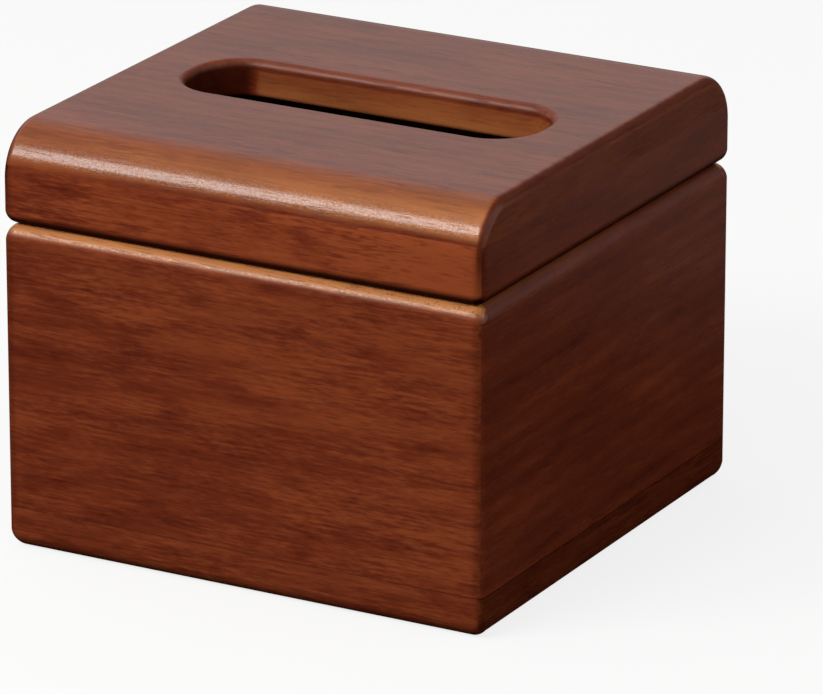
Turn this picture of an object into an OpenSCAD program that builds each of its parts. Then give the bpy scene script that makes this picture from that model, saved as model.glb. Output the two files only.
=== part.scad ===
// Square wooden tissue box with a slotted, hinged lid.
// Origin: centre of the underside. X runs left to right, Y front to back, Z up.

/* [Box] */
// Width of the box, left to right
box_w = 122; // [110:1:150]
// Depth of the box, front to back
box_d = 120; // [110:1:150]
// Height of the case, from the table to the seam
case_h = 77.25; // [60:0.25:110]
// Height of the lid above the seam
lid_h = 22.75; // [21:0.25:36]
// Thickness of the four walls and of the lid's rails
wall_t = 10; // [9:0.5:13]
// Thickness of the bottom board
base_t = 10; // [7:0.5:14]
// Thickness of the slotted top board
top_t = 9; // [5:0.5:10]

/* [Edges] */
// Large rounding along the front and back top edges of the lid
lid_round = 12; // [8:0.5:15]
// Small rounding along the left and right top edges of the lid
lid_end_round = 3; // [1:0.5:4]
// Rounding of the lid's lower edges, above the seam
seam_round = 3; // [2.5:0.25:4]
// Rounding of the case's upper edges, below the seam
rim_round = 3.75; // [3:0.25:5]
// Rounding around the foot of the case
foot_round = 4; // [2:0.5:6]
// Rounding of the upright corners
corner_round = 2; // [1:0.25:3]

/* [Slot] */
// Length of the tissue slot
slot_len = 89.5; // [60:0.5:92]
// Width of the tissue slot
slot_w = 25.5; // [16:0.5:36]
// Rounding of the slot's corners, as a share of half its width
slot_corner_share = 0.86; // [0.6:0.02:0.98]
// Distance that the slot's middle lies in front of the box's middle
slot_forward = 1.7; // [0:0.1:5]
// Rounding of the slot's upper lip
slot_lip_round = 2; // [0.5:0.25:2.5]
// Rounding of the slot's lower lip
slot_under_round = 1.25; // [0.5:0.25:2]

/* [Hinges] */
// Length of one hinge
hinge_len = 22; // [18:1:28]
// Distance from a side face of the box to the middle of the nearer hinge
hinge_setback = 30; // [28:1:36]
// Thickness of a hinge leaf
leaf_t = 0.8; // [0.6:0.1:1.1]
// Wood left between a leaf and the inside of the box
leaf_margin = 1.5; // [1:0.1:2]
// Diameter of the hinge pin
pin_d = 1.2; // [0.9:0.1:1.4]
// Distance between the two screws of one leaf
screw_spacing = 13; // [10:0.5:15]
// Diameter of a screw's shank
screw_d = 1.6; // [1.2:0.1:2]
// Diameter of a screw's countersunk head
screw_head_d = 3; // [2.4:0.1:3.2]
// Length of a screw's shank below the leaf
screw_len = 7; // [4:0.5:9]

/* [Hidden] */
$fn = 96;

// Overrun of every cut past the face that it opens
over = 1;

half_w = box_w / 2;
half_d = box_d / 2;
box_h = case_h + lid_h;
board_under = box_h - top_t;
slot_corner_r = slot_w / 2 * slot_corner_share;
slot_corner_x = slot_len / 2 - slot_corner_r;
slot_corner_y = slot_w / 2 - slot_corner_r;

// The pin lies in the groove of the seam, set in from the back face by this share of the
// lid's rounding there. The two rounded back edges then meet, and stop the lid, about 110
// degrees open.
hinge_inset_share = 0.54;
hinge_inset = seam_round * hinge_inset_share;
hinge_y = half_d - hinge_inset;

// The barrel stays inside the back face by this much
barrel_shy = 0.065;
barrel_r = hinge_inset - barrel_shy;
// Free space between the barrel and the wood around it
barrel_gap = 0.3;
// Free space between neighbouring knuckles
knuckle_gap = 0.2;
// Knuckles of one hinge, an odd number: the case leaf has the first, the third and so on
knuckles = 3;
knuckle_len = hinge_len / knuckles;
// Running clearance of the pin in its bore, on the radius
pin_fit = 0.05;
pin_r = pin_d / 2;
// Head at each end of the pin
pin_head_lip = 0.35;
pin_head_r = pin_r + pin_head_lip;
pin_head_t = 0.4;
// Play between a pin head and the outer knuckle
pin_head_gap = 0.05;

// Each leaf lies this far below the face that it is let into
leaf_sink = 0.1;
// Free space around a leaf in its recess
leaf_fit = 0.1;
leaf_reach = wall_t - hinge_inset - leaf_margin;
leaf_clear = barrel_r + barrel_gap;
screw_row = (leaf_reach + leaf_clear) / 2;

// Clearance between a screw and what it passes through, on the radius
screw_fit = 0.05;
screw_r = screw_d / 2;
screw_head_r = screw_head_d / 2;
// Height of the screw head's cone, as a share of the leaf it is let into
screw_head_share = 0.75;
screw_head_h = leaf_t * screw_head_share;
// Pointed end of a screw
screw_tip = screw_d;
// Free depth below the point of a screw
pilot_spare = 0.3;
// Cross-shaped recess in a screw's head
recess_len = screw_head_r;
recess_w = 0.3;
recess_depth = 0.35;

wood = [0.46, 0.22, 0.12];
lid_wood = [0.50, 0.25, 0.14];
base_wood = [0.38, 0.17, 0.09];
brass = [0.78, 0.62, 0.30];
screw_brass = [0.85, 0.72, 0.42];

// Corner of a square outside a circle of radius r, centred on the circle
module corner_bite(r) {
    difference() {
        square(r + over);
        circle(r);
    }
}

// Upright rectangle with rounded corners: lower pair low_r, upper pair high_r
module rounded_face(width, height, low_r, high_r) {
    difference() {
        translate([-width / 2, 0]) square([width, height]);
        for (side = [0, 1]) mirror([side, 0]) {
            translate([width / 2 - high_r, height - high_r]) corner_bite(high_r);
            translate([width / 2 - low_r, low_r]) mirror([0, 1]) corner_bite(low_r);
        }
    }
}

// Plan of the box with its upright corners rounded
module plan() {
    difference() {
        translate([-half_w, -half_d]) square([box_w, box_d]);
        for (x = [0, 1], y = [0, 1]) mirror([x, 0]) mirror([0, y])
            translate([half_w - corner_round, half_d - corner_round]) corner_bite(corner_round);
    }
}

// Outer form of the lid or the case, standing on z = 0
module outer_form(height, low_r, front_back_r, left_right_r) {
    intersection() {
        linear_extrude(height) plan();
        rotate([90, 0, 90]) linear_extrude(box_w + 2 * over, center = true)
            rounded_face(box_d, height, low_r, front_back_r);
        rotate([90, 0, 0]) linear_extrude(box_d + 2 * over, center = true)
            rounded_face(box_w, height, low_r, left_right_r);
    }
}

module case_form() {
    outer_form(case_h, foot_round, rim_round, rim_round);
}

module lid_form() {
    translate([0, 0, case_h]) outer_form(lid_h, seam_round, lid_round, lid_end_round);
}

// Everything between two heights
module layer(low, high) {
    translate([-half_w - over, -half_d - over, low])
        cube([box_w + 2 * over, box_d + 2 * over, high - low]);
}

// The hollow inside the four walls, and inside the lid's rails
module hollow() {
    translate([-half_w + wall_t, -half_d + wall_t, 0])
        cube([box_w - 2 * wall_t, box_d - 2 * wall_t, box_h + over]);
}

// Plan of the front board: both ends mitred at 45 degrees through the box's corners
module front_mitre() {
    inner = wall_t + over;
    polygon([
        [-half_w - over, -half_d - over], [half_w + over, -half_d - over],
        [half_w - inner, -half_d + inner], [-half_w + inner, -half_d + inner]
    ]);
}

// Plan of the left board, mitred like the front one
module left_mitre() {
    inner = wall_t + over;
    polygon([
        [-half_w - over, -half_d - over], [-half_w + inner, -half_d + inner],
        [-half_w + inner, half_d - inner], [-half_w - over, half_d + over]
    ]);
}

// One wall of the case, in the given plan
module case_wall() {
    difference() {
        intersection() {
            case_form();
            translate([0, 0, base_t]) linear_extrude(case_h - base_t + over) children();
        }
        hollow();
    }
}

// One rail of the lid, in the given plan
module lid_rail() {
    difference() {
        intersection() {
            lid_form();
            translate([0, 0, case_h - over])
                linear_extrude(board_under - case_h + over) children();
        }
        hollow();
    }
}

// The four centres of the slot's corner roundings
module at_slot_corners() {
    for (x = [-1, 1], y = [-1, 1]) translate([x * slot_corner_x, y * slot_corner_y]) children();
}

// Outline of the slot, with its corners rounded
module slot_outline() {
    square([2 * slot_corner_x, slot_w], center = true);
    square([slot_len, 2 * slot_corner_y], center = true);
    at_slot_corners() circle(slot_corner_r);
}

// Wood taken off to round the slot's lip at z = 0, with the wood below it
module lip_cut(r) {
    at_slot_corners() rotate_extrude() lip_section(slot_corner_r, r);
    for (side = [0, 1]) {
        mirror([0, side, 0]) rotate([90, 0, 90])
            linear_extrude(2 * slot_corner_x, center = true) lip_section(slot_w / 2, r);
        mirror([side, 0, 0]) rotate([90, 0, 0])
            linear_extrude(2 * slot_corner_y, center = true) lip_section(slot_len / 2, r);
    }
}

// Section of the wood taken off above a lip of radius r, at the given distance from the middle
module lip_section(wall, r) {
    difference() {
        translate([wall - over, -r]) square([r + over, r + over]);
        translate([wall + r, -r]) circle(r);
    }
}

module slot_cut() {
    translate([0, -slot_forward, 0]) {
        translate([0, 0, board_under - over]) linear_extrude(top_t + 2 * over) slot_outline();
        translate([0, 0, box_h]) lip_cut(slot_lip_round);
        translate([0, 0, board_under]) mirror([0, 0, 1]) lip_cut(slot_under_round);
    }
}

// Puts a piece drawn for the left hinge at one side, with the pin's axis as its origin
module at_hinge(side) {
    translate([side * (half_w - hinge_setback), hinge_y, case_h]) children();
}

// Cylinder along X, centred
module bar_x(r, length) {
    rotate([0, 90, 0]) cylinder(r = r, h = length, center = true);
}

// Section of a leaf below the seam: plate, barrel and bore
module leaf_section() {
    difference() {
        union() {
            translate([-leaf_reach, -leaf_sink - leaf_t]) square([leaf_reach, leaf_t]);
            circle(barrel_r);
        }
        circle(pin_r + pin_fit);
    }
}

// Leaf that lies below the seam, cut away where the other leaf has its knuckles
module leaf(other_knuckles) {
    cut_size = leaf_clear + barrel_r + over;
    difference() {
        rotate([90, 0, 90]) linear_extrude(hinge_len, center = true) leaf_section();
        for (index = other_knuckles)
            translate([index * knuckle_len - (hinge_len + knuckle_gap) / 2, -leaf_clear, -cut_size / 2])
                cube([knuckle_len + knuckle_gap, cut_size, cut_size]);
        at_screws() {
            head_cone(screw_fit, over);
            translate([0, 0, -leaf_t - over])
                cylinder(r = screw_r + screw_fit, h = leaf_t + 2 * over);
        }
    }
}

module case_leaf() {
    leaf([1 : 2 : knuckles - 2]);
}

module lid_leaf() {
    mirror([0, 0, 1]) leaf([0 : 2 : knuckles - 1]);
}

// Both screw positions of a leaf below the seam, at the height of the leaf's face
module at_screws() {
    for (side = [-1, 1])
        translate([side * screw_spacing / 2, -screw_row, -leaf_sink]) children();
}

// Cone of a screw's head, widened by extra all round and run on past its top by rise
module head_cone(extra, rise) {
    flare = (screw_head_r - screw_r) / screw_head_h;
    translate([0, 0, -screw_head_h])
        cylinder(r1 = screw_r + extra, r2 = screw_head_r + extra + flare * rise,
                 h = screw_head_h + rise);
}

// Countersunk screws of one leaf below the seam
module leaf_screws() {
    at_screws() difference() {
        union() {
            head_cone(0, 0);
            translate([0, 0, -leaf_t - screw_len + screw_tip])
                cylinder(r = screw_r, h = leaf_t - screw_head_h + screw_len - screw_tip);
            translate([0, 0, -leaf_t - screw_len]) cylinder(r1 = 0, r2 = screw_r, h = screw_tip);
        }
        for (turn = [0, 90]) rotate(turn)
            translate([-recess_len / 2, -recess_w / 2, -recess_depth])
                cube([recess_len, recess_w, recess_depth + over]);
    }
}

// Pin with a head at each end
module pin() {
    bar_x(pin_r, hinge_len + 2 * pin_head_gap);
    for (side = [-1, 1])
        translate([side * (hinge_len / 2 + pin_head_gap + pin_head_t / 2), 0, 0])
            bar_x(pin_head_r, pin_head_t);
}

// Wood cut away below the seam for one hinge: leaf recess, barrel groove and pilot holes
module hinge_recess() {
    recess_x = hinge_len / 2 + leaf_fit;
    recess_y = leaf_reach + leaf_fit;
    groove_x = hinge_len / 2 + pin_head_gap + pin_head_t + barrel_gap;
    translate([-recess_x, -recess_y, -leaf_sink - leaf_t])
        cube([2 * recess_x, recess_y + hinge_inset + over, leaf_sink + leaf_t + over]);
    bar_x(barrel_r + barrel_gap, 2 * groove_x);
    at_screws() translate([0, 0, -leaf_t - screw_len - pilot_spare])
        cylinder(r = screw_r + screw_fit, h = leaf_t + screw_len + pilot_spare);
}

module bottom_board() {
    color(base_wood) intersection() {
        case_form();
        layer(-over, base_t);
    }
}

module front_wall() {
    color(wood) case_wall() front_mitre();
}

module back_wall() {
    color(wood) difference() {
        case_wall() mirror([0, 1]) front_mitre();
        for (side = [-1, 1]) at_hinge(side) hinge_recess();
    }
}

module left_wall() {
    color(wood) case_wall() left_mitre();
}

module right_wall() {
    color(wood) case_wall() mirror([1, 0]) left_mitre();
}

module lid_top_board() {
    color(lid_wood) difference() {
        intersection() {
            lid_form();
            layer(board_under, box_h + over);
        }
        slot_cut();
    }
}

module lid_front_rail() {
    color(lid_wood) lid_rail() front_mitre();
}

module lid_back_rail() {
    color(lid_wood) difference() {
        lid_rail() mirror([0, 1]) front_mitre();
        for (side = [-1, 1]) at_hinge(side) mirror([0, 0, 1]) hinge_recess();
    }
}

module lid_left_rail() {
    color(lid_wood) lid_rail() left_mitre();
}

module lid_right_rail() {
    color(lid_wood) lid_rail() mirror([1, 0]) left_mitre();
}

module hinge_case_leaf(side) {
    color(brass) at_hinge(side) case_leaf();
}

module hinge_lid_leaf(side) {
    color(brass) at_hinge(side) lid_leaf();
}

module hinge_pin(side) {
    color(screw_brass) at_hinge(side) pin();
}

module hinge_case_screws(side) {
    color(screw_brass) at_hinge(side) leaf_screws();
}

module hinge_lid_screws(side) {
    color(screw_brass) at_hinge(side) mirror([0, 0, 1]) leaf_screws();
}

bottom_board();
front_wall();
back_wall();
left_wall();
right_wall();
lid_top_board();
lid_front_rail();
lid_back_rail();
lid_left_rail();
lid_right_rail();
hinge_case_leaf(-1);  // left_hinge_case_leaf
hinge_lid_leaf(-1);  // left_hinge_lid_leaf
hinge_pin(-1);  // left_hinge_pin
hinge_case_screws(-1);  // left_hinge_case_screws
hinge_lid_screws(-1);  // left_hinge_lid_screws
hinge_case_leaf(1);  // right_hinge_case_leaf
hinge_lid_leaf(1);  // right_hinge_lid_leaf
hinge_pin(1);  // right_hinge_pin
hinge_case_screws(1);  // right_hinge_case_screws
hinge_lid_screws(1);  // right_hinge_lid_screws
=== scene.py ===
"""Looks of a square wooden tissue box with a slotted, hinged lid, built around its CAD frame."""
import math

import bmesh
import bpy
from mathutils import Matrix, Vector


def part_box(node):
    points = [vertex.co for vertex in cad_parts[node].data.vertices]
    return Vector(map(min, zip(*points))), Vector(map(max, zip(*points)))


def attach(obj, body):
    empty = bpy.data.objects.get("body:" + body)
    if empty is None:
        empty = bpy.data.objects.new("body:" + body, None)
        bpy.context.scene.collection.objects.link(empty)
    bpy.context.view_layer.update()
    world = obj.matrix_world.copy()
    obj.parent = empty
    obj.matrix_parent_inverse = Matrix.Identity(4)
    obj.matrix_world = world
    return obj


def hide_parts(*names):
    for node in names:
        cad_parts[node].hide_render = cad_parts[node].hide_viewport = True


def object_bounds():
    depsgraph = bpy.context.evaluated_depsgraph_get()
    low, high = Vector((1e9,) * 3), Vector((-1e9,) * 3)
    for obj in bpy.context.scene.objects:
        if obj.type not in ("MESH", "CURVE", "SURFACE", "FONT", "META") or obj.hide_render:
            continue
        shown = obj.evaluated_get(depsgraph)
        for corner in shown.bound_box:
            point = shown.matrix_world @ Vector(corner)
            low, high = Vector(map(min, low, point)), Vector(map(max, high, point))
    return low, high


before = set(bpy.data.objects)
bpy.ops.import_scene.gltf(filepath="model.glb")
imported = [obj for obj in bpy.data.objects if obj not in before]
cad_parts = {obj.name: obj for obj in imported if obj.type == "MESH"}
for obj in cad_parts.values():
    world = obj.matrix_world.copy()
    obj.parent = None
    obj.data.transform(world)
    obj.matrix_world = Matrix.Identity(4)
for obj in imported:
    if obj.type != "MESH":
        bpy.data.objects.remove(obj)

bl_info = {
    "name": "Wooden tissue box",
    "version": (1, 0, 0),
    "blender": (4, 5, 0),
    "location": "View3D > Sidebar > Tissue box",
    "description": "Lacquered wooden tissue box with a slotted, hinged lid",
    "category": "Object",
}

CAD_BOX = [list(corner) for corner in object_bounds()]
MM = 0.001
# Vertex attribute for stain and painted light: 0 on flat faces; about 1 on rounded and cut edges,
# which are stained less and, on the large roundings and case rims, carry a painted sheen and
# painted light; below 0 where stain gathers, and where shade is painted on the lid's seam rounding
# and ends and in the slot's left end
THIN_STAIN = "thin_stain"
# Vertex attribute with the roughness that is added on edges
SOFT_GLOSS = "soft_gloss"
# Mesh steps of an end's easing, a case rounding, a lid rounding and a corner of the slot
EASE_STEPS, CASE_STEPS, LID_STEPS, SLOT_STEPS = 12, 16, 32, 24
# Mesh steps of a slot lip, a hinge's barrel and a pilot hole
LIP_STEPS, BARREL_STEPS, HOLE_STEPS = 8, 48, 32
# Distance in metres within which two points of a mesh are one
SAME_PLACE = 0.0001 * MM
# Angle between two faces above which their edge is drawn sharp
SHARP_ANGLE = math.radians(30)
# Distance to the right of the middle at which a board is lighter by its whole rise
RISE_REACH = 60 * MM


class TissueBoxShape(bpy.types.PropertyGroup):
    """Roundings and slot of the box; the outer sizes come from the frame."""

    lid_round: bpy.props.FloatProperty(
        name="Lid rounding", description="Rounding of the lid's front and back top edges",
        default=12 * MM, precision=4, unit="LENGTH")
    lid_end_round: bpy.props.FloatProperty(
        name="Lid end rounding", description="Rounding of the lid's left and right top edges",
        default=3 * MM, precision=4, unit="LENGTH")
    seam_round: bpy.props.FloatProperty(
        name="Seam rounding", description="Rounding of the lid's lower edges",
        default=3 * MM, precision=4, unit="LENGTH")
    rim_round: bpy.props.FloatProperty(
        name="Rim rounding", description="Rounding of the case's upper edges",
        default=3.75 * MM, precision=4, unit="LENGTH")
    foot_round: bpy.props.FloatProperty(
        name="Foot rounding", description="Rounding around the foot of the case",
        default=4 * MM, precision=4, unit="LENGTH")
    corner_round: bpy.props.FloatProperty(
        name="Corner rounding", description="Rounding of the upright corners",
        default=2 * MM, precision=4, unit="LENGTH")
    slot_length: bpy.props.FloatProperty(
        name="Slot length", description="Length of the tissue slot", default=89.5 * MM,
        precision=4, unit="LENGTH")
    slot_width: bpy.props.FloatProperty(
        name="Slot width", description="Width of the tissue slot", default=25.5 * MM,
        precision=4, unit="LENGTH")
    slot_corner: bpy.props.FloatProperty(
        name="Slot corner rounding", description="Share of half the slot's width",
        default=0.86, min=0.5, max=1, subtype="FACTOR")
    slot_forward: bpy.props.FloatProperty(
        name="Slot forward", description="Place of the slot's middle in front of the box's middle",
        default=1.7 * MM, precision=4, unit="LENGTH")
    slot_lip: bpy.props.FloatProperty(
        name="Slot lip", description="Rounding of the slot's upper lip", default=2 * MM,
        precision=4, unit="LENGTH")
    slot_under_lip: bpy.props.FloatProperty(
        name="Slot under lip", description="Rounding of the slot's lower lip", default=1.25 * MM,
        precision=4, unit="LENGTH")
    joint_bevel: bpy.props.FloatProperty(
        name="Joint bevel", description="Bevel of the bottom board's joint with the walls",
        default=0.12 * MM, precision=5, unit="LENGTH")


class TissueBoxFinish(bpy.types.PropertyGroup):
    """Colours and gloss of the wood and of the hinges."""

    wood_dark: bpy.props.FloatVectorProperty(
        name="Dark wood", description="Darkest streaks of the stained wood",
        subtype="COLOR", size=3, default=(0.095, 0.0135, 0.0058), min=0, max=1)
    wood_mid: bpy.props.FloatVectorProperty(
        name="Wood", description="Main colour of the stained wood",
        subtype="COLOR", size=3, default=(0.172, 0.0295, 0.0105), min=0, max=1)
    wood_light: bpy.props.FloatVectorProperty(
        name="Light wood", description="Lightest streaks of the stained wood",
        subtype="COLOR", size=3, default=(0.28, 0.06, 0.0185), min=0, max=1)
    # Also the colour of the painted sheen on the large roundings and of the painted light on the
    # case rims
    wood_bare: bpy.props.FloatVectorProperty(
        name="Thinly stained wood", description="Wood on rounded and cut edges",
        subtype="COLOR", size=3, default=(0.68, 0.26, 0.08), min=0, max=1)
    # Also the colour of the painted shade on the lid's seam rounding and ends, in the slot's left
    # end and beside the upright corners
    wood_deep: bpy.props.FloatVectorProperty(
        name="Wood in grooves", description="Wood where stain and dust gather under an edge",
        subtype="COLOR", size=3, default=(0.02, 0.002, 0.0008), min=0, max=1)
    lacquer_roughness: bpy.props.FloatProperty(
        name="Lacquer roughness", description="Roughness of the lacquered wood",
        default=0.21, min=0, max=1, subtype="FACTOR")
    lacquer_shine: bpy.props.FloatProperty(
        name="Lacquer shine", description="Strength of the reflection in the lacquer",
        default=0.42, min=0, max=1, subtype="FACTOR")
    pore_dark: bpy.props.FloatProperty(
        name="Dark pores", description="Share of dark stain in the pores",
        default=0.36, min=0, max=1, subtype="FACTOR")
    speck_dark: bpy.props.FloatProperty(
        name="Dark specks", description="Share of dark stain in the specks on sanded rims",
        default=0.55, min=0, max=1, subtype="FACTOR")
    # Painted shade beside the upright corners, where their rounding turns away from the softbox
    corner_dark: bpy.props.FloatProperty(
        name="Dark corners", description="Share of deep stain beside the upright corners",
        default=0.25, min=0, max=1, subtype="FACTOR")
    joint_dark: bpy.props.FloatProperty(
        name="Dark joint", description="Share of deep stain along the bottom board's joint",
        default=0.6, min=0, max=1, subtype="FACTOR")
    relief_depth: bpy.props.FloatProperty(
        name="Relief depth", description="Depth of the grain's relief in the lacquer",
        default=0.12 * MM, precision=5, unit="LENGTH")
    relief_strength: bpy.props.FloatProperty(
        name="Relief strength", description="How strongly the grain's relief shows",
        default=0.13, min=0, max=1, subtype="FACTOR")
    brass: bpy.props.FloatVectorProperty(
        name="Brass", description="Colour of the hinges", subtype="COLOR", size=3,
        default=(0.62, 0.42, 0.17), min=0, max=1)
    screw_brass: bpy.props.FloatVectorProperty(
        name="Screw brass", description="Colour of the hinge pins and screws",
        subtype="COLOR", size=3, default=(0.72, 0.52, 0.24), min=0, max=1)
    brass_roughness: bpy.props.FloatProperty(
        name="Brass roughness", description="Roughness of the hinge leaves",
        default=0.32, min=0, max=1, subtype="FACTOR")
    screw_roughness: bpy.props.FloatProperty(
        name="Screw roughness", description="Roughness of the hinge pins and screws",
        default=0.24, min=0, max=1, subtype="FACTOR")


class TissueBoxStudio(bpy.types.PropertyGroup):
    """Camera, softbox, surroundings and floor."""

    camera_azimuth: bpy.props.FloatProperty(
        name="Camera azimuth", description="Angle of the camera to the right of the front",
        default=math.radians(28.836), subtype="ANGLE", unit="ROTATION")
    camera_elevation: bpy.props.FloatProperty(
        name="Camera elevation", description="Angle of the camera above the table",
        default=math.radians(19.434), subtype="ANGLE", unit="ROTATION")
    camera_roll: bpy.props.FloatProperty(
        name="Camera roll", description="Turn of the picture",
        default=math.radians(-0.0166), subtype="ANGLE", unit="ROTATION")
    camera_distance: bpy.props.FloatProperty(
        name="Camera distance", description="Distance from the camera to its target",
        default=1.6313, unit="LENGTH")
    camera_target: bpy.props.FloatVectorProperty(
        name="Camera target", description="Point in the middle of the picture",
        default=(0.010471, 0, 0.041618), subtype="TRANSLATION", unit="LENGTH", precision=5)
    camera_lens: bpy.props.FloatProperty(
        name="Focal length", description="Focal length in millimetres on a 36 mm sensor",
        default=313.41, min=1)
    softbox_direction: bpy.props.FloatVectorProperty(
        name="Softbox direction", description="Direction from the box to the softbox",
        subtype="DIRECTION", default=(-0.354, -0.699, 0.621))
    softbox_distance: bpy.props.FloatProperty(
        name="Softbox distance", description="Distance from the box to the softbox",
        default=1.2, unit="LENGTH")
    softbox_size: bpy.props.FloatVectorProperty(
        name="Softbox size", description="Width and height of the softbox", size=2,
        default=(0.85, 0.33), unit="LENGTH")
    softbox_tilt: bpy.props.FloatProperty(
        name="Softbox tilt", description="Turn of the softbox about its own direction",
        default=math.radians(16), subtype="ANGLE", unit="ROTATION")
    softbox_radiance: bpy.props.FloatProperty(
        name="Softbox brightness", description="Radiance of the softbox", default=10.2, min=0)
    softbox_colour: bpy.props.FloatVectorProperty(
        name="Softbox colour", description="Colour of the softbox", subtype="COLOR", size=3,
        default=(1.0, 0.965, 0.935), min=0, max=1)
    backdrop_level: bpy.props.FloatProperty(
        name="Backdrop brightness", description="Brightness of the surroundings",
        default=0.47, min=0)
    backdrop_glow: bpy.props.FloatProperty(
        name="Backdrop glow", description="Share that the high band behind the box adds",
        default=0.75, min=0)
    backdrop_gap: bpy.props.FloatProperty(
        name="Backdrop gap", description="Share that the dark gap behind the box takes away",
        default=0.75, min=0, max=1)
    backdrop_side: bpy.props.FloatProperty(
        name="Side panel", description="Brightness that the panel on the right adds",
        default=0.35, min=0)
    backdrop_front: bpy.props.FloatProperty(
        name="Front shade", description="Share that the low shade in front takes away",
        default=0.85, min=0, max=1)
    floor_colour: bpy.props.FloatVectorProperty(
        name="Floor", description="Colour of the floor", subtype="COLOR", size=3,
        default=(0.93, 0.93, 0.93), min=0, max=1)
    floor_glow: bpy.props.FloatProperty(
        name="Floor glow", description="Brightness that the floor has for the camera",
        default=1.02, min=0)
    floor_glow_share: bpy.props.FloatProperty(
        name="Floor glow share", description="Share of the floor that glows and takes no shadow",
        default=0.8, min=0, max=1, subtype="FACTOR")
    floor_unseen: bpy.props.FloatVectorProperty(
        name="Unseen floor", description="Floor colour that throws light back on the box",
        subtype="COLOR", size=3, default=(0.15, 0.14, 0.13), min=0, max=1)
    floor_mirrored: bpy.props.FloatVectorProperty(
        name="Mirrored floor", description="Floor that the box mirrors, far behind it",
        subtype="COLOR", size=3, default=(0.114, 0.1083, 0.1026), min=0, max=1)
    floor_mirrored_near: bpy.props.FloatVectorProperty(
        name="Mirrored floor near", description="Floor that the box mirrors, near it and in front",
        subtype="COLOR", size=3, default=(0.004, 0.0038, 0.0036), min=0, max=1)
    floor_mirrored_reach: bpy.props.FloatVectorProperty(
        name="Mirrored floor reach", size=2, default=(90 * MM, 270 * MM), unit="LENGTH",
        description="Distances behind the middle from which, and at which, the far floor shows")


def settings(kind):
    """Property group of the shape, the finish or the studio."""
    return getattr(bpy.context.scene, "tissue_box_" + kind)


class Link:
    """A shader socket that takes part in Python arithmetic; each operation adds a Math node."""

    def __init__(self, nodes, socket):
        self.nodes, self.socket = nodes, socket

    def math(self, operation, *values):
        node = self.nodes.add("ShaderNodeMath", {"operation": operation}, dict(enumerate(values)))
        return node[0]

    def __add__(self, other):
        return self.math("ADD", self, other)

    def __sub__(self, other):
        return self.math("SUBTRACT", self, other)

    def __rsub__(self, other):
        return self.math("SUBTRACT", other, self)

    def __mul__(self, other):
        return self.math("MULTIPLY", self, other)

    def __pow__(self, other):
        return self.math("POWER", self, other)

    __radd__, __rmul__ = __add__, __mul__

    def sine(self):
        return self.math("SINE", self)

    def above(self, low):
        return self.math("MAXIMUM", self, low)

    def swing(self, strength):
        """Turns a noise about 0.5 into a change about 0 of the given strength."""
        return (self - 0.5) * strength


class Added:
    """A node whose outputs are read as links, by number or by name."""

    def __init__(self, nodes, node):
        self.nodes, self.node = nodes, node

    def __getitem__(self, output):
        return Link(self.nodes, self.node.outputs[output])


class Nodes:
    """Node tree of one material or of the world."""

    def __init__(self, owner):
        owner.use_nodes = True
        self.tree = owner.node_tree
        self.tree.nodes.clear()

    def add(self, kind, choices=None, values=None):
        """Adds a node, sets its choices first, and then the values or links of its sockets."""
        node = self.tree.nodes.new(kind)
        for name, choice in (choices or {}).items():
            if name == "stops":
                ramp = node.color_ramp
                while len(ramp.elements) < len(choice):
                    ramp.elements.new(1)
                for element, (place, colour) in zip(ramp.elements, choice):
                    element.position, element.color = place, colour
            else:
                setattr(node, name, choice)
        for name, value in (values or {}).items():
            if isinstance(value, Link):
                self.tree.links.new(value.socket, node.inputs[name])
            else:
                node.inputs[name].default_value = value
        return Added(self, node)

    def mix(self, factor, first, second, blend="MIX"):
        """Mixes two colours or places, each a link or a plain colour."""
        first, second = (value if isinstance(value, Link) else (*value, 1)
                         for value in (first, second))
        return self.add("ShaderNodeMix", {"data_type": "RGBA", "blend_type": blend},
                        {0: factor, 6: first, 7: second})[2]

    def step(self, value, low, high):
        """Smooth step of a link from 0 at low to 1 at high."""
        return self.add("ShaderNodeMapRange", {"interpolation_type": "SMOOTHSTEP"},
                        {"Value": value, "From Min": low, "From Max": high})[0]

    def hump(self, value, start, full, fade, end):
        """Smooth step of a link from 0 at start to 1 at full, and back from fade to 0 at end."""
        return self.step(value, start, full) * (1 - self.step(value, fade, end))

    def noise(self, place, length, width, detail=1.0, roughness=0.5):
        """Noise with spots of the given length along X and the given width across it."""
        scaled = self.add("ShaderNodeVectorMath", {"operation": "DIVIDE"},
                          {0: place, 1: (length, width, width)})[0]
        return self.add("ShaderNodeTexNoise", None, {
            "Vector": scaled, "Scale": 1.0, "Detail": detail, "Roughness": roughness})[0]


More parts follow.
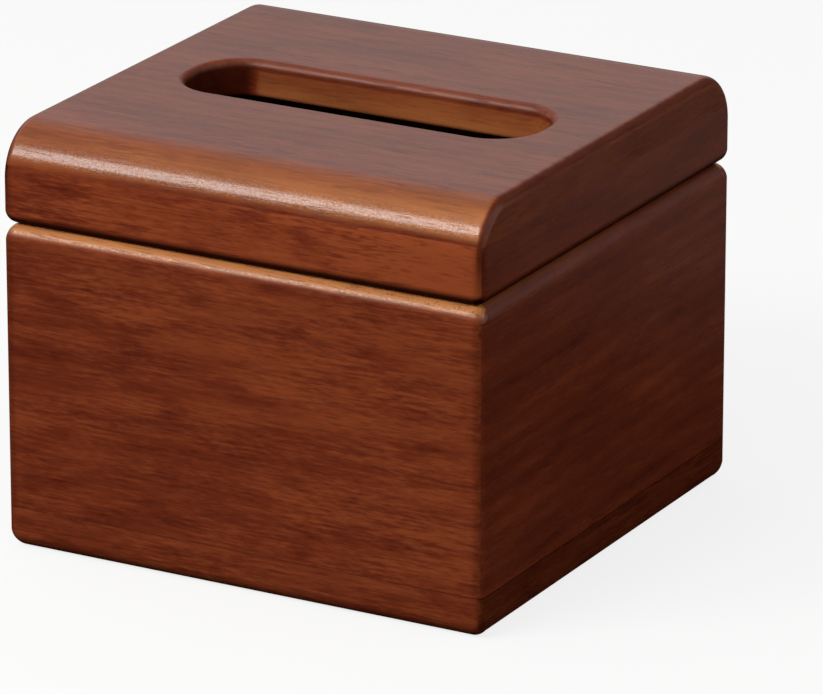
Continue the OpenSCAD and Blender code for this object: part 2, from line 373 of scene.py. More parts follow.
class Grain:
    """Patterns of one board's grain, from coordinates in metres whose X runs along it."""

    def __init__(self, nodes, place, heart):
        warp = nodes.noise(place, 30 * MM, 12 * MM)
        sway = nodes.add("ShaderNodeCombineXYZ", None, {1: warp.swing(3 * MM)})[0]
        fine = nodes.add("ShaderNodeVectorMath", {"operation": "ADD"}, {0: place, 1: sway})[0]
        self.rings = self.growth_rings(nodes, place, heart)
        self.clouds = nodes.noise(place, 42 * MM, 11 * MM, 2.0, 0.55)
        self.clumps = nodes.noise(place, 22 * MM, 7 * MM)
        self.flecks = nodes.noise(place, 0.7 * MM, 0.45 * MM)
        self.bands = nodes.noise(fine, 13 * MM, 0.8 * MM)
        self.streaks = nodes.noise(fine, 3.2 * MM, 0.6 * MM, 2.0, 0.6)
        self.fibres = nodes.noise(fine, 2.5 * MM, 0.26 * MM)
        self.blotches = nodes.step(nodes.noise(fine, 14 * MM, 5 * MM), 0.54, 0.74)
        pores = nodes.noise(fine, 6 * MM, 0.38 * MM, 0.0)
        self.pores = nodes.step(pores + self.clumps.swing(0.3), 0.62, 0.74)

    def growth_rings(self, nodes, place, heart):
        """Rings round the log's heart, which wanders along the board; -1 to 1."""
        slope, heart_y, heart_z = heart
        ring, swing = 4.6 * MM, 4 * MM
        wander = nodes.noise(place, 60 * MM, 14 * MM, 2.0)
        parts = nodes.add("ShaderNodeSeparateXYZ", None, {0: place})
        across = parts[1] - heart_y + parts[0] * slope
        through = parts[2] - heart_z
        radius = (across * across + through * through) ** 0.5
        return ((radius + wander * swing) * (2 * math.pi / ring)).sine()

    def lightness(self, contrast):
        """Lightness of the stain, about 0 in its middle."""
        lines = self.bands.swing(0.7) + self.streaks.swing(0.65)
        lines = lines * (self.clumps * 2.4 - 0.2) - self.blotches * 0.2
        return (self.clouds.swing(0.7) + lines * contrast + self.fibres.swing(0.25)
                + self.rings * 0.0525)


def wood_finish(name, turn, shift, tone=0.0, heart=(0.02, 0.1, 0.03), contrast=1.0, rise=0.0,
                gain=1.0, ends=None, joint=None, edge=None):
    """Lacquered, stained wood whose grain runs along X after a turn about Z.

    turn: degrees from the box to the board; shift: place in the log, in metres; tone:
    lightness of the board; heart: slope and place of the log's heart; contrast: strength of
    the streaks; rise: lightness that it gains to the right; gain: brightness of the board;
    ends: distance from the middle at which the edging of the board's ends begins; joint: half
    width, half depth and height of the joint line round the board; edge: distance from the
    middle to the side face, before which the upright edges are darker.
    """
    finish = settings("finish")
    material = bpy.data.materials.new(name)
    nodes = Nodes(material)
    place = nodes.add("ShaderNodeTexCoord")["Object"]
    box_place = nodes.add("ShaderNodeSeparateXYZ", None, {0: place})

    def along(angle):
        return nodes.add("ShaderNodeMapping", {"vector_type": "POINT"}, {
            "Vector": place, "Location": shift, "Rotation": (0, 0, math.radians(angle))})[0]

    def outside(axis, start, full):
        """0 up to the distance start from the middle along an axis, 1 from the distance full."""
        squared = box_place[axis] * box_place[axis]
        return nodes.step(squared, start ** 2, full ** 2)

    board = along(turn)
    if ends:
        board = nodes.mix(outside(0, ends - 0.2 * MM, ends), board, along(90))
    grain = Grain(nodes, board, heart)
    light = grain.lightness(contrast) + (0.52 + tone)
    if rise:
        light = light + box_place[0] * (rise / RISE_REACH)
    stain = nodes.add("ShaderNodeValToRGB", {"stops": (
        (0.1, (*finish.wood_dark, 1)), (0.5, (*finish.wood_mid, 1)),
        (0.92, (*finish.wood_light, 1)))}, {0: light})[0]
    stain = nodes.mix(1.0, stain, (gain, gain, gain), "MULTIPLY")

    thin = nodes.add("ShaderNodeAttribute", {"attribute_name": THIN_STAIN})["Fac"]
    specks = nodes.step(grain.flecks, 0.56, 0.7) * nodes.step(thin, 1, 1.25)
    # Edges lighter: stain sanded thinner, and a painted sheen on the large roundings and painted
    # light on the case rims
    bare = thin.above(0) * (grain.bands * 0.4 + grain.clouds.swing(0.8) + 0.6)
    # Gathered stain, and painted shade on the lid's seam rounding and ends and in the slot's left
    # end; both also dull the lacquer
    deep = (thin * -1).above(0)
    # Painted shade beside the upright corners
    if edge:
        deep = deep + outside(0, edge - 3.1 * MM, edge - 1.7 * MM) * finish.corner_dark
    if joint:
        half_w, half_d, height = joint
        inner = (1 - outside(0, half_w - MM, half_w - 0.5 * MM)) * (
            1 - outside(1, half_d - MM, half_d - 0.5 * MM))
        line = nodes.step(box_place[2], height - 0.25 * MM, height - 0.1 * MM)
        deep = deep + line * (1 - inner) * finish.joint_dark
    colour = nodes.mix(bare, stain, finish.wood_bare)
    dark = grain.pores * (finish.pore_dark * contrast) + specks * finish.speck_dark
    colour = nodes.mix(dark, colour, finish.wood_dark)
    colour = nodes.mix(deep, colour, finish.wood_deep)

    relief = grain.fibres * 0.25 + grain.streaks * 0.3 - grain.pores * 0.5 - specks * 0.5
    bump = nodes.add("ShaderNodeBump", None, {
        "Strength": finish.relief_strength * contrast, "Distance": finish.relief_depth,
        "Height": relief})[0]
    soft = nodes.add("ShaderNodeAttribute", {"attribute_name": SOFT_GLOSS})["Fac"]
    uneven = grain.streaks.swing(0.14) + grain.pores * 0.12
    uneven = uneven + grain.flecks.swing(0.6) * nodes.step(thin, 0.15, 0.4)
    lacquer = nodes.add("ShaderNodeBsdfPrincipled", None, {
        "Base Color": colour, "Roughness": soft + uneven + finish.lacquer_roughness,
        "Specular IOR Level": finish.lacquer_shine, "Normal": bump})[0]
    dull = nodes.add("ShaderNodeBsdfPrincipled", None, {
        "Base Color": colour, "Roughness": 1.0, "Specular IOR Level": 0.0, "Normal": bump})[0]
    # The lacquer gives way to a dull finish where stain gathers and where shade is painted
    worn = nodes.add("ShaderNodeMixShader", None, {0: deep, 1: lacquer, 2: dull})[0]
    nodes.add("ShaderNodeOutputMaterial", None, {0: worn})
    return material


def brass_finish(name, colour, rough):
    """Brushed brass: faint scratches along X, tarnish in clouds."""
    material = bpy.data.materials.new(name)
    nodes = Nodes(material)
    place = nodes.add("ShaderNodeTexCoord")["Object"]
    scratches = nodes.noise(place, 6 * MM, 0.12 * MM, 2.0)
    clouds = nodes.noise(place, 3 * MM, 3 * MM, 3.0)
    tint = nodes.mix((clouds - 0.35) * 0.9, colour, tuple(part * 0.6 for part in colour))
    bump = nodes.add("ShaderNodeBump", None, {
        "Strength": 0.15, "Distance": 0.03 * MM, "Height": scratches})[0]
    shader = nodes.add("ShaderNodeBsdfPrincipled", None, {
        "Base Color": tint, "Metallic": 1.0,
        "Roughness": rough + scratches.swing(0.2) + clouds.swing(0.15),
        "Normal": bump})
    nodes.add("ShaderNodeOutputMaterial", None, {0: shader[0]})
    return material


def side_outline(half_d, low, high, rounds, eases, steps):
    """Outline of a form seen from its end: place, outward direction and end easing.

    rounds: roundings of the bottom and top edges; eases: easing of the end's bottom, upright
    and top edges.
    """
    low_r, high_r = rounds
    low_e, side_e, high_e = eases
    corners = (
        (half_d - low_r, low + low_r, low_r, -90, low_e, side_e),
        (half_d - high_r, high - high_r, high_r, 0, side_e, high_e),
        (-half_d + high_r, high - high_r, high_r, 90, high_e, side_e),
        (-half_d + low_r, low + low_r, low_r, 180, side_e, low_e),
    )
    points = []
    for y, z, r, start, first_e, last_e in corners:
        for index in range(steps + 1):
            share = index / steps
            angle = math.radians(start + 90 * share)
            out = Vector((0, math.cos(angle), math.sin(angle)))
            points.append((Vector((0, y, z)) + out * r, out, first_e + (last_e - first_e) * share))
    return points


def skinned(form, rings):
    """Closes a mesh over rings of equal vertex count, and caps both ends."""
    for first, second in zip(rings, rings[1:]):
        for index in range(len(first)):
            after = (index + 1) % len(first)
            form.faces.new((first[index], first[after], second[after], second[index]))
    form.faces.new(reversed(rings[0]))
    form.faces.new(rings[-1])


def eased_form(half_w, outline):
    """Closed mesh: the outline drawn out along X, with quarter-round easing at both ends."""
    form = bmesh.new()
    rings = []
    turns = [math.radians(90 * index / EASE_STEPS) for index in range(EASE_STEPS + 1)]
    for side in (-1, 1):
        for turn in (reversed(turns) if side < 0 else turns):
            ring = []
            for place, out, ease in outline:
                point = place - out * ease * (1 - math.cos(turn))
                point.x = side * (half_w - ease * (1 - math.sin(turn)))
                ring.append(form.verts.new(point))
            rings.append(ring)
    skinned(form, rings)
    bmesh.ops.remove_doubles(form, verts=form.verts, dist=SAME_PLACE)
    bmesh.ops.recalc_face_normals(form, faces=form.faces)
    return form


def trimmed(form, cuts):
    """Copy of a closed mesh, cut by planes: what lies behind each one is kept and closed."""
    piece = form.copy()
    for point, direction in cuts:
        cut = bmesh.ops.bisect_plane(
            piece, geom=piece.verts[:] + piece.edges[:] + piece.faces[:], dist=SAME_PLACE,
            plane_co=point, plane_no=Vector(direction).normalized(), clear_outer=True)
        rim = [edge for edge in cut["geom_cut"] if isinstance(edge, bmesh.types.BMEdge)]
        bmesh.ops.edgeloop_fill(piece, edges=[edge for edge in rim if edge.is_boundary])
    bmesh.ops.recalc_face_normals(piece, faces=piece.faces)
    return piece


def slot_corners(shape):
    """Place and radius of the slot's corner roundings, from the slot's middle."""
    radius = shape.slot_width / 2 * shape.slot_corner
    return shape.slot_length / 2 - radius, shape.slot_width / 2 - radius, radius


def slot_points(shape, grow):
    """Points round the slot, grown by the given length."""
    x, y, radius = slot_corners(shape)
    points = []
    for side, face, start in ((1, -1, -90), (1, 1, 0), (-1, 1, 90), (-1, -1, 180)):
        for index in range(SLOT_STEPS + 1):
            angle = math.radians(start + 90 * index / SLOT_STEPS)
            points.append((side * x + (radius + grow) * math.cos(angle),
                           face * y + (radius + grow) * math.sin(angle) - shape.slot_forward))
    return points


def slot_cutter(sizes, shape):
    """Form of the slot through the top board, with its rounded lips, as a cutter."""
    over = 1 * MM
    lip, under = shape.slot_lip, shape.slot_under_lip
    low, high = sizes.board_under + under, sizes.top - lip
    turns = [math.radians(90 * index / LIP_STEPS) for index in range(LIP_STEPS + 1)]
    levels = [(sizes.board_under - over, under)]
    levels += [(low - under * math.cos(turn), under * (1 - math.sin(turn))) for turn in turns]
    levels += [(low + (high - low) * index / LIP_STEPS, 0) for index in range(1, LIP_STEPS)]
    levels += [(high + lip * math.sin(turn), lip * (1 - math.cos(turn))) for turn in turns]
    levels.append((sizes.top + over, lip))

    form = bmesh.new()
    skinned(form, [[form.verts.new((x, y, z)) for x, y in slot_points(shape, grow)]
                   for z, grow in levels])
    bmesh.ops.recalc_face_normals(form, faces=form.faces)
    return form


def block(low, high):
    """Box between two corners, as a cutter."""
    form = bmesh.new()
    size = Vector(high) - Vector(low)
    place = Matrix.Translation((Vector(low) + Vector(high)) / 2) @ Matrix.Diagonal((*size, 1))
    bmesh.ops.create_cube(form, size=1, matrix=place)
    return form


def rod(centre, direction, radius, length, steps):
    """Cylinder about a centre, as a cutter."""
    form = bmesh.new()
    turn = Vector((0, 0, 1)).rotation_difference(Vector(direction)).to_matrix().to_4x4()
    bmesh.ops.create_cone(form, cap_ends=True, segments=steps, radius1=radius, radius2=radius,
                          depth=length, matrix=Matrix.Translation(centre) @ turn)
    return form


def linked_object(name, form):
    """Object in the scene from a mesh under construction, which is used up."""
    mesh = bpy.data.meshes.new(name)
    form.to_mesh(mesh)
    form.free()
    made = bpy.data.objects.new(name, mesh)
    bpy.context.scene.collection.objects.link(made)
    return made


def new_piece(name, form, cutters=()):
    """Object from a closed mesh, less the cutters."""
    piece = linked_object(name, form)
    for cutter in cutters:
        tool = linked_object("cutter", cutter)
        carve = piece.modifiers.new("carve", "BOOLEAN")
        carve.operation, carve.solver, carve.object = "DIFFERENCE", "EXACT", tool
        bpy.context.view_layer.update()
        ready = piece.evaluated_get(bpy.context.evaluated_depsgraph_get())
        carved = bpy.data.meshes.new_from_object(ready)
        piece.modifiers.clear()
        piece.data = carved
        bpy.data.objects.remove(tool)
    piece.data.name = name
    return piece


def finish_piece(piece, node, body, material, thin, soft):
    """Gives a wooden piece its finish, stain and shading, and puts it in its node's place."""
    mesh = piece.data
    mesh.materials.clear()
    mesh.materials.append(material)
    for name, level in ((THIN_STAIN, thin), (SOFT_GLOSS, soft)):
        values = mesh.attributes.new(name, "FLOAT", "POINT")
        for index, vertex in enumerate(mesh.vertices):
            values.data[index].value = level(vertex.co)
    mesh.shade_smooth()
    mesh.set_sharp_from_angle(angle=SHARP_ANGLE)
    weigh = piece.modifiers.new("flat faces lead", "WEIGHTED_NORMAL")
    weigh.keep_sharp = True
    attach(piece, body)
    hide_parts(node)


class BoxSizes:
    """Outer sizes of the box, read from the frame."""

    def __init__(self):
        low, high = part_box("bottom_board")
        wall_low, wall_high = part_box("front_wall")
        top_low, top_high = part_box("lid_top_board")
        self.half_w, self.half_d = high[0], high[1]
        self.base_top = high[2]
        self.seam = wall_high[2]
        self.wall = wall_high[1] - wall_low[1]
        self.board_under, self.top = top_low[2], top_high[2]


def wall_cuts(sizes, side):
    """Planes that leave one mitred board of the four: front, back, left or right."""
    w, d = sizes.half_w, sizes.half_d
    if side in ("front", "back"):
        face = -1 if side == "front" else 1
        return [
            ((0, face * (d - sizes.wall), 0), (0, -face, 0)),
            ((-w, face * d, 0), (-1, -face, 0)),
            ((w, face * d, 0), (1, -face, 0)),
        ]
    face = -1 if side == "left" else 1
    return [
        ((face * (w - sizes.wall), 0, 0), (-face, 0, 0)),
        ((face * w, -d, 0), (-face, -1, 0)),
        ((face * w, d, 0), (-face, 1, 0)),
    ]


def joint_cuts(sizes, bevel):
    """Planes that cut the bottom board off the walls and bevel its upper edges."""
    w, d, height = sizes.half_w - bevel, sizes.half_d - bevel, sizes.base_top
    bevels = [((0, face * d, height), (0, face, 1)) for face in (-1, 1)]
    bevels += [((face * w, 0, height), (face, 0, 1)) for face in (-1, 1)]
    return [((0, 0, height), (0, 0, 1))] + bevels


def hinge_cutters(side, above):
    """Cutters for one hinge's recess in the wood below the seam, or above it."""
    fit, gap, over = 0.1 * MM, 0.3 * MM, 1 * MM
    recess_depth, shank_r, screw_fit = 0.9 * MM, 0.8 * MM, 0.05 * MM
    board = "lid" if above else "case"
    leaf_low, leaf_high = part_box(f"{side}_hinge_{board}_leaf")
    pin_low, pin_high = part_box(f"{side}_hinge_pin")
    screw_low, screw_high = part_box(f"{side}_hinge_{board}_screws")
    axis = (Vector(pin_low) + Vector(pin_high)) / 2
    barrel_r = leaf_high[1] - axis.y
    face = 1 if above else -1
    levels = sorted((axis.z + face * recess_depth, axis.z - face * over))
    cutters = [
        block((leaf_low[0] - fit, leaf_low[1] - fit, levels[0]),
              (leaf_high[0] + fit, BoxSizes().half_d + over, levels[1])),
        rod(axis, (1, 0, 0), barrel_r + gap, pin_high[0] - pin_low[0] + 2 * gap, BARREL_STEPS),
    ]
    row, head_r = (screw_low[1] + screw_high[1]) / 2, (screw_high[1] - screw_low[1]) / 2
    hole = screw_high[2] - screw_low[2] + gap
    for x in (screw_low[0] + head_r, screw_high[0] - head_r):
        cutters.append(rod((x, row, axis.z + face * hole / 2), (0, 0, 1),
                           shank_r + screw_fit, hole, HOLE_STEPS))
    return cutters


def ramp(value, low, high):
    """Smooth step from 0 at low to 1 at high."""
    share = min(max((value - low) / (high - low), 0.0), 1.0)
    return share * share * (3 - 2 * share)


def hump(value, start, full, fade, end):
    """Smooth step from 0 at start to 1 at full, and back from 1 at fade to 0 at end."""
    return ramp(value, start, full) * (1 - ramp(value, fade, end))


def turn_of(out, up, radius):
    """Place on a rounding in degrees: 0 at the upright face, 90 at the flat; -1 off it."""
    if out <= 0 or up <= 0 or math.hypot(out, up) < 0.7 * radius:
        return -1
    return math.degrees(math.atan2(up, out))


class CaseWear:
    """Where the case's stain is sanded thinner and light is painted, and where its gloss is
    softer, by vertex.
    """

    # Rims lighter from stain sanded thinner and from painted light
    rim_thin, rim_thin_right, rim_corner_fade, side_rim_thin = 1.1, 0.15, 0.5, 0.3
    end_grain_deep = 0.55
    rim_soft = 0.14

    def __init__(self, sizes, shape):
        self.sizes, self.rim = sizes, shape.rim_round

    def thin(self, point):
        """Lighter front and back rims, a little more to the right, and a bit of the side rims near
        the front: stain sanded thinner, with painted light.
        """
        half_w, half_d, rim = self.sizes.half_w, self.sizes.half_d, self.rim
        up = point.z - (self.sizes.seam - rim)
        front = turn_of(abs(point.y) - (half_d - rim), up, rim)
        side = turn_of(abs(point.x) - (half_w - rim), up, rim)
        level = (self.rim_thin + self.rim_thin_right * point.x / half_w) * ramp(front, 14, 42)
        level *= 1 - self.rim_corner_fade * ramp(abs(point.x), half_w - 2 * MM, half_w - MM)
        return max(level, self.side_rim_thin * ramp(side, 40, 65) * ramp(-point.y, 0, half_d))

    def thin_base(self, point):
        """Stain gathers on the bottom board's end grain."""
        half_w = self.sizes.half_w
        return -self.end_grain_deep * ramp(abs(point.x), half_w - 2 * MM, half_w)

    def soft(self, point):
        """Softer gloss on the rims."""
        low = self.sizes.seam - self.rim
        return self.rim_soft * ramp(point.z, low, low + self.rim / 2)


class LidWear:
    """Where the lid's stain is sanded thinner or gathers, where shade and sheen are painted, and
    where its gloss differs.
    """

    # Painted shade on the seam rounding, which faces down, on the end roundings and on the top
    # board's ends
    seam_deep, end_deep, top_end_deep = 0.95, 0.45, 0.25
    # Large rounding, lighter from stain sanded thinner and a painted sheen: levels, and the
    # degrees at which each one starts, is full, fades and ends
    rounding_thin, rounding_thin_right, rounding_turns = 0.48, 0.19, (16, 25, 62, 88)
    high_fade, high_turns = 0.5, (46, 60)
    streak_deep, streak_turns = 0.1, (7, 12, 12, 17)
    glossy, glossy_turns = 0.06, (6, 12, 25, 32)
    # Slot: levels, and depths in lip roundings at which each one starts, is full, fades and ends
    wall_thin, low_wall_thin, shade_deep = 0.22, 0.24, 0.8
    line_deep, line_depths = 0.35, (0.6, 0.85, 0.95, 1.4)
    lip_soft, lip_depths = 0.22, (0.0, 0.1, 1.1, 1.4)

    def __init__(self, sizes, shape):
        self.sizes, self.shape = sizes, shape

    def front_turn(self, point):
        """Place on the lid's large front or back rounding in degrees."""
        big = self.shape.lid_round
        return turn_of(abs(point.y) - (self.sizes.half_d - big),
                       point.z - (self.sizes.top - big), big)

    def thin(self, point):
        """Painted shade on the seam and end roundings; the large rounding lighter from stain
        sanded thinner and a painted sheen.
        """
        half_w, half_d, seam = self.sizes.half_w, self.sizes.half_d, self.shape.seam_round
        up = self.sizes.seam + seam - point.z
        under = max(turn_of(abs(point.y) - (half_d - seam), up, seam),
                    turn_of(abs(point.x) - (half_w - seam), up, seam))
        if under > 0:
            return -self.seam_deep * ramp(under, 0, 40)
        front = self.front_turn(point)
        right = point.x / half_w
        streak = self.streak_deep * (1 - right) * hump(front, *self.streak_turns)
        level = self.rounding_thin + self.rounding_thin_right * right
        level *= hump(front, *self.rounding_turns)
        level *= 1 - self.high_fade * ramp(front, *self.high_turns)
        outer = (half_w - abs(point.x)) / self.shape.lid_end_round
        end = hump(outer, 0.01, 0.15, 0.4, 0.65)
        return level * ramp(outer, 0.35, 0.65) - self.end_deep * end - streak

    def thin_slot(self, point):
        """The top board: sanded slot walls, a dark line below the lip, painted shade in the slot's
        left end.
        """
        corner_x, corner_y, radius = slot_corners(self.shape)
        out = math.hypot(max(abs(point.x) - corner_x, 0),
                         max(abs(point.y + self.shape.slot_forward) - corner_y, 0)) - radius
        if out > self.shape.slot_lip * 1.01:
            half_w = self.sizes.half_w
            end = ramp(abs(point.x), half_w - 0.3 * MM, half_w)
            return self.thin(point) - self.top_end_deep * end
        depth = (self.sizes.top - point.z) / self.shape.slot_lip
        shaded = ramp(-point.x, corner_x + 1 * MM, corner_x + 5 * MM)
        level = self.wall_thin * ramp(depth, 1.0, 1.3) + self.low_wall_thin * ramp(depth, 1.6, 3.8)
        level -= self.line_deep * hump(depth, *self.line_depths)
        return level * (1 - shaded) - self.shade_deep * shaded * ramp(depth, 0, 1)

    def soft(self, point):
        """Higher gloss low on the large rounding."""
        return -self.glossy * hump(self.front_turn(point), *self.glossy_turns)

    def soft_slot(self, point):
        """The lid's gloss, softer on the slot's lip."""
        shape, near = self.shape, self.shape.lid_round / 2
        across = abs(point.y + shape.slot_forward) - shape.slot_width / 2
        if abs(point.x) > shape.slot_length / 2 + near or across > near:
            return self.soft(point)
        depth = (self.sizes.top - point.z) / shape.slot_lip
        return self.lip_soft * hump(depth, *self.lip_depths)


def build_sides(body, form, cut, looks, wear):
    """Builds the four mitred boards of the case or the lid from what a cut leaves of its form."""
    sizes, lid = BoxSizes(), body == "lid"
    for side, look in looks.items():
        node = f"lid_{side}_rail" if lid else f"{side}_wall"
        cutters = []
        if side == "back":
            cutters = hinge_cutters("left", lid) + hinge_cutters("right", lid)
        board = trimmed(form, [cut] + wall_cuts(sizes, side))
        piece = new_piece(node + "_dressed", board, cutters)
        wood = wood_finish(f"lid {side} wood" if lid else f"{side} wood",
                           edge=sizes.half_w if side in ("front", "back") else None, **look)
        finish_piece(piece, node, body, wood, wear.thin, wear.soft)


class BuildCase(bpy.types.Operator):
    """Builds the bottom board and the four mitred walls of the case"""
    bl_idname = "tissue_box.build_case"
    bl_label = "Case"

    boards = {
        "front": {"turn": 2, "shift": (0.02, 0.0, 0.11), "tone": 0.1,
                  "heart": (0.03, 0.12, 0.01), "rise": 0.07, "gain": 1.16},
        "back": {"turn": 0, "shift": (0.4, 0.1, 0.2)},
        "left": {"turn": 90, "shift": (0.2, 0.3, 0.5)},
        "right": {"turn": 90, "shift": (0.6, 0.05, 0.3), "tone": -0.05,
                  "heart": (0.05, 0.06, 0.02), "contrast": 0.5},
    }

    def execute(self, context):
        sizes, shape = BoxSizes(), settings("shape")
        wear = CaseWear(sizes, shape)
        form = eased_form(sizes.half_w, side_outline(
            sizes.half_d, 0, sizes.seam, (shape.foot_round, shape.rim_round),
            (shape.foot_round, shape.corner_round, shape.rim_round), CASE_STEPS))

        base = new_piece("bottom_board_dressed",
                         trimmed(form, joint_cuts(sizes, shape.joint_bevel)))
        wood = wood_finish("bottom wood", 0, (0.31, 0.07, 0.4), 0.12, (0.0, 0.05, 0.02),
                           gain=1.12, ends=sizes.half_w - 1 * MM,
                           joint=(sizes.half_w, sizes.half_d, sizes.base_top))
        finish_piece(base, "bottom_board", "case", wood, wear.thin_base, wear.soft)

        above_base = ((0, 0, sizes.base_top), (0, 0, -1))
        build_sides("case", form, above_base, self.boards, wear)
        form.free()
        return {"FINISHED"}


class BuildLid(bpy.types.Operator):
    """Builds the lid's slotted top board and its four mitred rails"""
    bl_idname = "tissue_box.build_lid"
    bl_label = "Lid"

    rails = {
        "front": {"turn": 1, "shift": (0.1, 0.7, 0.2), "tone": 0.24,
                  "heart": (0.02, 0.1, 0.01), "contrast": 1.2, "rise": 0.24, "gain": 1.33},
        "back": {"turn": 0, "shift": (0.5, 0.2, 0.3)},
        "left": {"turn": 90, "shift": (0.3, 0.1, 0.6)},
        "right": {"turn": 90, "shift": (0.7, 0.35, 0.1), "tone": -0.13, "contrast": 0.5},
    }

    def execute(self, context):
        sizes, shape = BoxSizes(), settings("shape")
        wear = LidWear(sizes, shape)
        form = eased_form(sizes.half_w, side_outline(
            sizes.half_d, sizes.seam, sizes.top, (shape.seam_round, shape.lid_round),
            (shape.seam_round, shape.corner_round, shape.lid_end_round), LID_STEPS))

        board = trimmed(form, [((0, 0, sizes.board_under), (0, 0, -1))])
        piece = new_piece("lid_top_board_dressed", board, [slot_cutter(sizes, shape)])
        wood = wood_finish("lid top wood", 0, (0.1, 0.7, 0.2), 0.15, (0.02, 0.05, 0.05), 0.75,
                           ends=sizes.half_w - 1 * MM)
        finish_piece(piece, "lid_top_board", "lid", wood, wear.thin_slot,
                     wear.soft_slot)

        below_board = ((0, 0, sizes.board_under), (0, 0, 1))
        build_sides("lid", form, below_board, self.rails, wear)
        form.free()
        return {"FINISHED"}


class FinishHinges(bpy.types.Operator):
    """Gives the hinges' leaves, pins and screws their brass"""
    bl_idname = "tissue_box.finish_hinges"
    bl_label = "Hinges"

    def execute(self, context):
        finish = settings("finish")
        leaf = brass_finish("brushed brass", finish.brass, finish.brass_roughness)
        bright = brass_finish("bright brass", finish.screw_brass, finish.screw_roughness)
        for side in ("left", "right"):
            for part, material in (("case_leaf", leaf), ("lid_leaf", leaf), ("pin", bright),
                                   ("case_screws", bright), ("lid_screws", bright)):
                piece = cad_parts[f"{side}_hinge_{part}"]
                for slot in piece.material_slots:
                    slot.link = "OBJECT"
                    slot.material = material
        return {"FINISHED"}


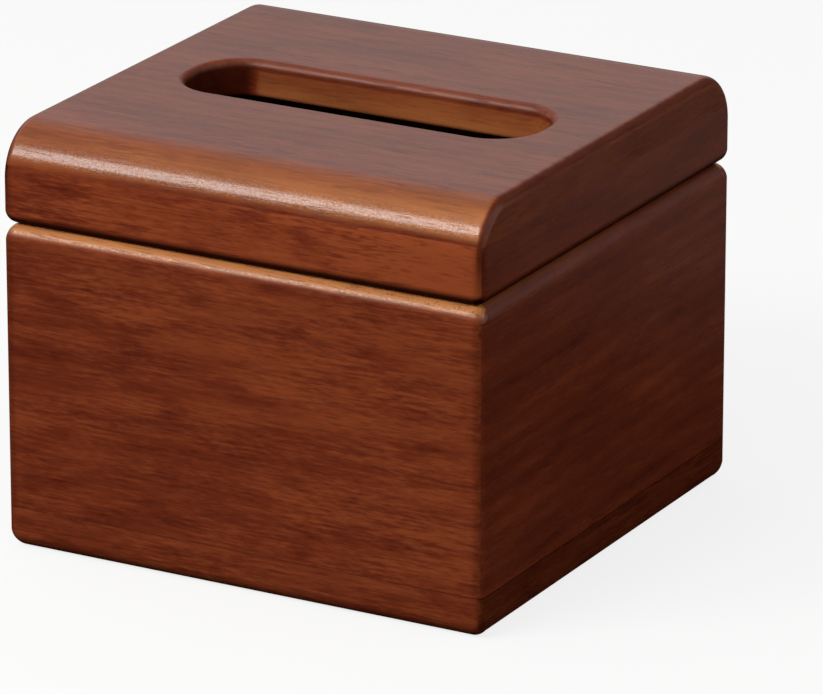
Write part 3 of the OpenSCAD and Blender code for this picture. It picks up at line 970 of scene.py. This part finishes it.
class SetStage(bpy.types.Operator):
    """Sets the camera, the softbox, the floor and the surroundings"""
    bl_idname = "tissue_box.set_stage"
    bl_label = "Stage"

    def execute(self, context):
        scene, studio = context.scene, settings("studio")
        scene.view_settings.view_transform = "Standard"
        self.camera(scene, studio)
        self.softbox(scene, studio)
        self.floor(studio)
        self.surroundings(scene, studio)
        return {"FINISHED"}

    def camera(self, scene, studio):
        """Camera that looks at its target from the given angles."""
        azimuth, elevation = studio.camera_azimuth, studio.camera_elevation
        away = Vector((math.sin(azimuth) * math.cos(elevation),
                       -math.cos(azimuth) * math.cos(elevation), math.sin(elevation)))
        lens = bpy.data.cameras.new("camera")
        lens.sensor_fit, lens.sensor_width, lens.lens = "HORIZONTAL", 36, studio.camera_lens
        lens.clip_start, lens.clip_end = 0.05, 50
        camera = bpy.data.objects.new("camera", lens)
        scene.collection.objects.link(camera)
        turn = away.to_track_quat("Z", "Y").to_matrix() @ Matrix.Rotation(
            -studio.camera_roll, 3, "Z")
        place = Vector(studio.camera_target) + away * studio.camera_distance
        camera.matrix_world = Matrix.Translation(place) @ turn.to_4x4()
        scene.camera = camera

    def softbox(self, scene, studio):
        """Rectangular lamp that faces the middle of the box."""
        low, high = CAD_BOX
        middle = (Vector(low) + Vector(high)) / 2
        width, height = studio.softbox_size
        lamp = bpy.data.lights.new("front softbox", "AREA")
        lamp.shape, lamp.size, lamp.size_y = "RECTANGLE", width, height
        lamp.energy = studio.softbox_radiance * math.pi * width * height
        lamp.color = studio.softbox_colour
        box = bpy.data.objects.new("front softbox", lamp)
        scene.collection.objects.link(box)
        away = Vector(studio.softbox_direction).normalized()
        turn = away.to_track_quat("Z", "Y").to_matrix() @ Matrix.Rotation(
            studio.softbox_tilt, 3, "Z")
        place = middle + away * studio.softbox_distance
        box.matrix_world = Matrix.Translation(place) @ turn.to_4x4()
        box.visible_camera = False

    def floor(self, studio):
        """Pale floor: it keeps the box's shadow, and throws little light back on the box."""
        form = bmesh.new()
        bmesh.ops.create_grid(form, x_segments=8, y_segments=8, size=6)
        ground = linked_object("floor", form)
        material = bpy.data.materials.new("pale floor")
        nodes = Nodes(material)
        path = nodes.add("ShaderNodeLightPath")

        pale = nodes.add("ShaderNodeBsdfDiffuse", None, {"Color": (*studio.floor_colour, 1)})[0]
        glow = nodes.add("ShaderNodeEmission", None, {
            "Color": (1, 1, 1, 1), "Strength": studio.floor_glow})[0]
        shown = nodes.add("ShaderNodeMixShader", None, {
            0: studio.floor_glow_share, 1: pale, 2: glow})[0]

        dim = nodes.add("ShaderNodeBsdfDiffuse", None, {"Color": (*studio.floor_unseen, 1)})[0]
        place = nodes.add("ShaderNodeTexCoord")["Object"]
        beyond = nodes.add("ShaderNodeSeparateXYZ", None, {0: place})[1]
        mirrored = nodes.add("ShaderNodeEmission", None, {"Strength": 1.0, "Color": nodes.mix(
            nodes.step(beyond, *studio.floor_mirrored_reach), studio.floor_mirrored_near,
            studio.floor_mirrored)})[0]
        unseen = nodes.add("ShaderNodeMixShader", None, {
            0: path["Is Glossy Ray"], 1: dim, 2: mirrored})[0]
        mixed = nodes.add("ShaderNodeMixShader", None, {
            0: path["Is Camera Ray"], 1: unseen, 2: shown})[0]
        nodes.add("ShaderNodeOutputMaterial", None, {0: mixed})
        ground.data.materials.append(material)

    def surroundings(self, scene, studio):
        """Soft light from all round, brighter behind the box, and white to the camera."""
        world = bpy.data.worlds.new("surroundings")
        scene.world = world
        nodes = Nodes(world)
        way = nodes.add("ShaderNodeTexCoord")["Generated"]
        parts = nodes.add("ShaderNodeSeparateXYZ", None, {0: way})
        right, back, height = parts[0], parts[1], parts[2]
        behind = nodes.step(back, -0.1, 0.35)
        glow = nodes.hump(height, 0.25, 0.5, 0.68, 0.85) * behind
        gap = nodes.hump(right, -0.25, 0.05, 0.55, 0.7) * behind
        side = nodes.step(right, 0.55, 0.75)
        low_front = (1 - nodes.step(back, -0.6, -0.3)) * (1 - nodes.step(height, 0.3, 0.5))
        level = (glow * studio.backdrop_glow + 1) * studio.backdrop_level
        level = level * (1 - gap * studio.backdrop_gap) + side * studio.backdrop_side
        level = level * (1 - low_front * studio.backdrop_front)
        seen = nodes.add("ShaderNodeLightPath")["Is Camera Ray"]
        level = level * (1 - seen) + seen
        sky = nodes.add("ShaderNodeBackground", None, {"Color": (1, 1, 1, 1), "Strength": level})
        nodes.add("ShaderNodeOutputWorld", None, {0: sky[0]})


class TissueBoxPanel(bpy.types.Panel):
    """Lists the pieces that can be built and their settings"""
    bl_idname = "VIEW3D_PT_tissue_box"
    bl_label = "Tissue box"
    bl_space_type = "VIEW_3D"
    bl_region_type = "UI"
    bl_category = "Tissue box"

    def draw(self, context):
        for kind in KINDS:
            group = settings(kind)
            column = self.layout.column(align=True)
            for name in group.bl_rna.properties.keys():
                if name not in ("rna_type", "name"):
                    column.prop(group, name)
        for operator in OPERATORS:
            self.layout.operator(operator.bl_idname)


KINDS = {"shape": TissueBoxShape, "finish": TissueBoxFinish, "studio": TissueBoxStudio}
OPERATORS = (BuildCase, BuildLid, FinishHinges, SetStage)
CLASSES = (*KINDS.values(), *OPERATORS, TissueBoxPanel)


def register():
    for cls in CLASSES:
        bpy.utils.register_class(cls)
    for kind, group in KINDS.items():
        setattr(bpy.types.Scene, "tissue_box_" + kind, bpy.props.PointerProperty(type=group))


def unregister():
    for kind in KINDS:
        delattr(bpy.types.Scene, "tissue_box_" + kind)
    for cls in reversed(CLASSES):
        bpy.utils.unregister_class(cls)


def main():
    register()
    bpy.ops.tissue_box.set_stage()
    bpy.ops.tissue_box.build_case()
    bpy.ops.tissue_box.build_lid()
    bpy.ops.tissue_box.finish_hinges()


if __name__ == "__main__":
    main()
